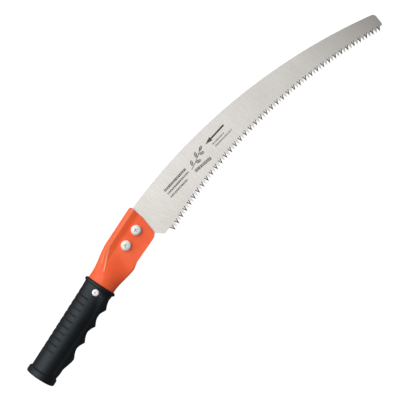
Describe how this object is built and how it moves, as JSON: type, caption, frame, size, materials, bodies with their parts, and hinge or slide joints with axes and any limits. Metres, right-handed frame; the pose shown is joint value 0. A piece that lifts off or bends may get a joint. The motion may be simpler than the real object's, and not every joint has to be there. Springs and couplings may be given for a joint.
{
  "type": "curved pruning saw",
  "caption": "Fixed, curved pull-stroke pruning saw: toothed steel blade screwed into the flattened end of an orange tube handle with a black rubber grip.",
  "frame": {"origin": "on the handle tube's axis, in the plane of its open mouth at the butt", "axes": "+X along the handle from its mouth towards the blade, +Y towards the blade's spine, +Z the side of the screw heads; the saw lies flat"},
  "size_m": [0.555, 0.1285, 0.036],
  "materials": {
    "blade_steel": "ground satin steel, bevels on the teeth bright",
    "orange_paint": "glossy baked paint on steel",
    "black_rubber": "moulded rubber, satin",
    "plated_steel": "bright zinc plate",
    "rivet_aluminium": "bright aluminium",
    "mandrel_steel": "bare steel, broken end"
  },
  "bodies": {
    "root": {"blade": "blade_steel", "handle_tube": "orange_paint", "rubber_grip": "black_rubber", "blade_screw_rear": "plated_steel", "blade_screw_front": "plated_steel", "lock_washer_rear": "plated_steel", "lock_washer_front": "plated_steel", "hex_nut_rear": "plated_steel", "hex_nut_front": "plated_steel", "grip_rivet": "rivet_aluminium", "rivet_mandrel": "mandrel_steel"}
  },
  "joints": []
}
